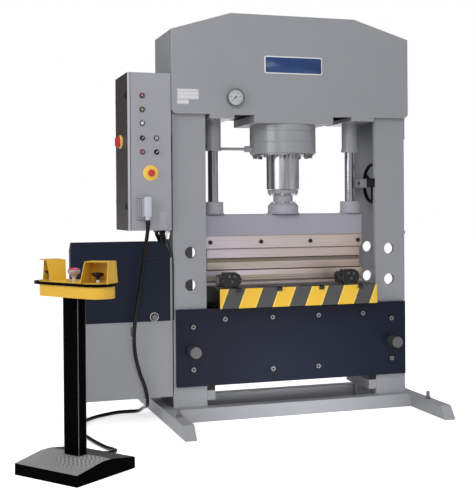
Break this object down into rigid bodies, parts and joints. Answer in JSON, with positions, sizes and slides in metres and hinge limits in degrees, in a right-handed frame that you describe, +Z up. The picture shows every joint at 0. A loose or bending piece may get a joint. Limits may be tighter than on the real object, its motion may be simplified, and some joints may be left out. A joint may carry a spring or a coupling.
{
  "type": "hydraulic press brake",
  "caption": "Upright hydraulic press brake: welded frame, vertical cylinder and ram beam over a die, with an electrical cabinet, power unit and free-standing two-hand control pedestal.",
  "frame": {"origin": "on the floor, at the centre of the frame's footprint: midway between the two columns and between the front and rear plates", "axes": "+X to the right seen from the operator's side, the front faces -Y, +Z up"},
  "size_m": [2.5517, 2.0187, 2.4],
  "materials": {
    "base_frame": "semi-gloss grey paint",
    "uprights": "semi-gloss grey paint",
    "head_front_plate": "semi-gloss grey paint",
    "head_rear_plate": "semi-gloss grey paint",
    "head_covers": "semi-gloss grey paint",
    "cylinder_slab": "semi-gloss grey paint",
    "guide_housings": "semi-gloss grey paint",
    "cylinder_barrel": "semi-gloss grey paint",
    "cylinder_gland": "machined",
    "table_front_plate": "semi-gloss navy paint",
    "table_rear_plate": "semi-gloss navy paint",
    "table_spacers": "dark paint",
    "table_pins": "turned, dull",
    "frame_fasteners": "zinc plated",
    "die_holder": "dark grey paint with yellow warning stripes on the front",
    "die": "ground tool steel with a light brown cast",
    "holder_clamps": "black",
    "stop_knob_left": "black",
    "stop_knob_right": "black",
    "ram_beam": "semi-gloss grey paint",
    "piston_rod": "hard chrome",
    "rod_collar": "machined",
    "guide_rods": "hard chrome",
    "tool_holder": "ground tool steel with a light brown cast",
    "punch": "ground tool steel with a light brown cast",
    "ram_fasteners": "zinc plated",
    "handwheel": "black",
    "handwheel_shaft": "dark paint",
    "shaft_bracket": "dark paint",
    "gauge_case": "polished rim, white dial",
    "gauge_needle": "black",
    "hydraulic_pipe": "grey paint",
    "cabinet_body": "semi-gloss grey paint",
    "cabinet_door": "dark paint, textured",
    "door_lock_top": "chrome plated",
    "door_lock_bottom": "chrome plated",
    "main_switch": "red",
    "switchgear_plate": "light grey devices",
    "indicator_lamps": "coloured lens",
    "start_button": "black",
    "stop_button": "red",
    "mode_selector": "black",
    "motor_selector": "black",
    "key_switch": "chrome plated",
    "cabinet_estop": "red",
    "mounting_bars": "semi-gloss grey paint",
    "oil_tank": "semi-gloss grey paint",
    "power_unit_cover": "semi-gloss navy paint",
    "conduits": "black",
    "connector_plug": "grey",
    "pedestal_base": "black paint",
    "pedestal_column": "black paint",
    "control_tray": "yellow paint",
    "control_hoods": "yellow paint",
    "tray_bead": "black edging",
    "palm_button_left": "black",
    "palm_button_right": "black",
    "pedestal_estop": "red",
    "cord": "black",
    "cord_gland": "grey"
  },
  "bodies": {
    "frame": {"base_frame": "base_frame", "uprights": "uprights", "head_front_plate": "head_front_plate", "head_rear_plate": "head_rear_plate", "head_covers": "head_covers", "cylinder_slab": "cylinder_slab", "guide_housings": "guide_housings", "cylinder_barrel": "cylinder_barrel", "cylinder_gland": "cylinder_gland", "table_front_plate": "table_front_plate", "table_rear_plate": "table_rear_plate", "table_spacers": "table_spacers", "table_pins": "table_pins", "frame_fasteners": "frame_fasteners", "die_holder": "die_holder", "die": "die", "holder_clamps": "holder_clamps", "shaft_bracket": "shaft_bracket", "gauge_case": "gauge_case", "hydraulic_pipe": "hydraulic_pipe", "cabinet_body": "cabinet_body", "switchgear_plate": "switchgear_plate", "indicator_lamps": "indicator_lamps", "mounting_bars": "mounting_bars", "oil_tank": "oil_tank", "power_unit_cover": "power_unit_cover", "conduits": "conduits", "connector_plug": "connector_plug", "pedestal_base": "pedestal_base", "pedestal_column": "pedestal_column", "control_tray": "control_tray", "control_hoods": "control_hoods", "tray_bead": "tray_bead", "cord": "cord", "cord_gland": "cord_gland"},
    "ram": {"ram_beam": "ram_beam", "piston_rod": "piston_rod", "rod_collar": "rod_collar", "guide_rods": "guide_rods", "tool_holder": "tool_holder", "punch": "punch", "ram_fasteners": "ram_fasteners"},
    "door": {"cabinet_door": "cabinet_door"},
    "lock_top": {"door_lock_top": "door_lock_top"},
    "lock_bottom": {"door_lock_bottom": "door_lock_bottom"},
    "main_switch": {"main_switch": "main_switch"},
    "start_button": {"start_button": "start_button"},
    "stop_button": {"stop_button": "stop_button"},
    "mode_selector": {"mode_selector": "mode_selector"},
    "motor_selector": {"motor_selector": "motor_selector"},
    "key_switch": {"key_switch": "key_switch"},
    "cabinet_estop": {"cabinet_estop": "cabinet_estop"},
    "handwheel": {"handwheel": "handwheel", "handwheel_shaft": "handwheel_shaft"},
    "gauge_needle": {"gauge_needle": "gauge_needle"},
    "palm_left": {"palm_button_left": "palm_button_left"},
    "palm_right": {"palm_button_right": "palm_button_right"},
    "pedestal_estop": {"pedestal_estop": "pedestal_estop"},
    "knob_left": {"stop_knob_left": "stop_knob_left"},
    "knob_right": {"stop_knob_right": "stop_knob_right"}
  },
  "joints": [
    {"name": "ram_slide", "type": "slide", "parent": "frame", "child": "ram", "axis": [0, 0, 1], "range_m": [0, 0.18]},
    {"name": "door_hinge", "type": "hinge", "parent": "frame", "child": "door", "pos_m": [-1.006, 0.169, 1.575], "axis": [0, 0, 1], "range_deg": [-110, 0]},
    {"name": "lock_top_turn", "type": "hinge", "parent": "door", "child": "lock_top", "pos_m": [-1.021, -0.16, 1.898], "axis": [-1, 0, 0], "range_deg": [0, 90]},
    {"name": "lock_bottom_turn", "type": "hinge", "parent": "door", "child": "lock_bottom", "pos_m": [-1.021, -0.16, 1.257], "axis": [-1, 0, 0], "range_deg": [0, 90]},
    {"name": "main_switch_turn", "type": "hinge", "parent": "door", "child": "main_switch", "pos_m": [-1.021, -0.034, 1.64], "axis": [-1, 0, 0], "range_deg": [0, 90]},
    {"name": "start_button_press", "type": "slide", "parent": "frame", "child": "start_button", "axis": [0, 1, 0], "range_m": [0, 0.004], "stiffness_N_per_m": 1000, "springref_m": -0.003},
    {"name": "stop_button_press", "type": "slide", "parent": "frame", "child": "stop_button", "axis": [0, 1, 0], "range_m": [0, 0.004], "stiffness_N_per_m": 1000, "springref_m": -0.003},
    {"name": "mode_selector_turn", "type": "hinge", "parent": "frame", "child": "mode_selector", "pos_m": [-0.936, -0.215, 1.653], "axis": [0, 1, 0], "range_deg": [-45, 45]},
    {"name": "motor_selector_turn", "type": "hinge", "parent": "frame", "child": "motor_selector", "pos_m": [-0.853, -0.215, 1.573], "axis": [0, 1, 0], "range_deg": [-45, 45]},
    {"name": "key_turn", "type": "hinge", "parent": "frame", "child": "key_switch", "pos_m": [-0.936, -0.215, 1.739], "axis": [0, 1, 0], "range_deg": [0, 90]},
    {"name": "cabinet_estop_press", "type": "slide", "parent": "frame", "child": "cabinet_estop", "axis": [0, 1, 0], "range_m": [0, 0.006]},
    {"name": "handwheel_turn", "type": "hinge", "parent": "frame", "child": "handwheel", "pos_m": [0.612, 0, 1.397], "axis": [1, 0, 0], "continuous": true},
    {"name": "gauge_needle_turn", "type": "hinge", "parent": "frame", "child": "gauge_needle", "pos_m": [-0.378, -0.232, 1.899], "axis": [0, 1, 0], "range_deg": [0, 270], "stiffness_Nm_per_rad": 0.002, "springref_deg": -17.19},
    {"name": "palm_left_press", "type": "slide", "parent": "frame", "child": "palm_left", "axis": [0, 0, -1], "range_m": [0, 0.005], "stiffness_N_per_m": 2000, "springref_m": -0.003},
    {"name": "palm_right_press", "type": "slide", "parent": "frame", "child": "palm_right", "axis": [0, 0, -1], "range_m": [0, 0.005], "stiffness_N_per_m": 2000, "springref_m": -0.003},
    {"name": "pedestal_estop_press", "type": "slide", "parent": "frame", "child": "pedestal_estop", "axis": [0, 0, -1], "range_m": [0, 0.006]},
    {"name": "knob_left_turn", "type": "hinge", "parent": "frame", "child": "knob_left", "pos_m": [-0.475, -0.233, 0.821], "axis": [1, 0, 0], "continuous": true},
    {"name": "knob_right_turn", "type": "hinge", "parent": "frame", "child": "knob_right", "pos_m": [0.284, -0.233, 0.821], "axis": [1, 0, 0], "continuous": true}
  ]
}
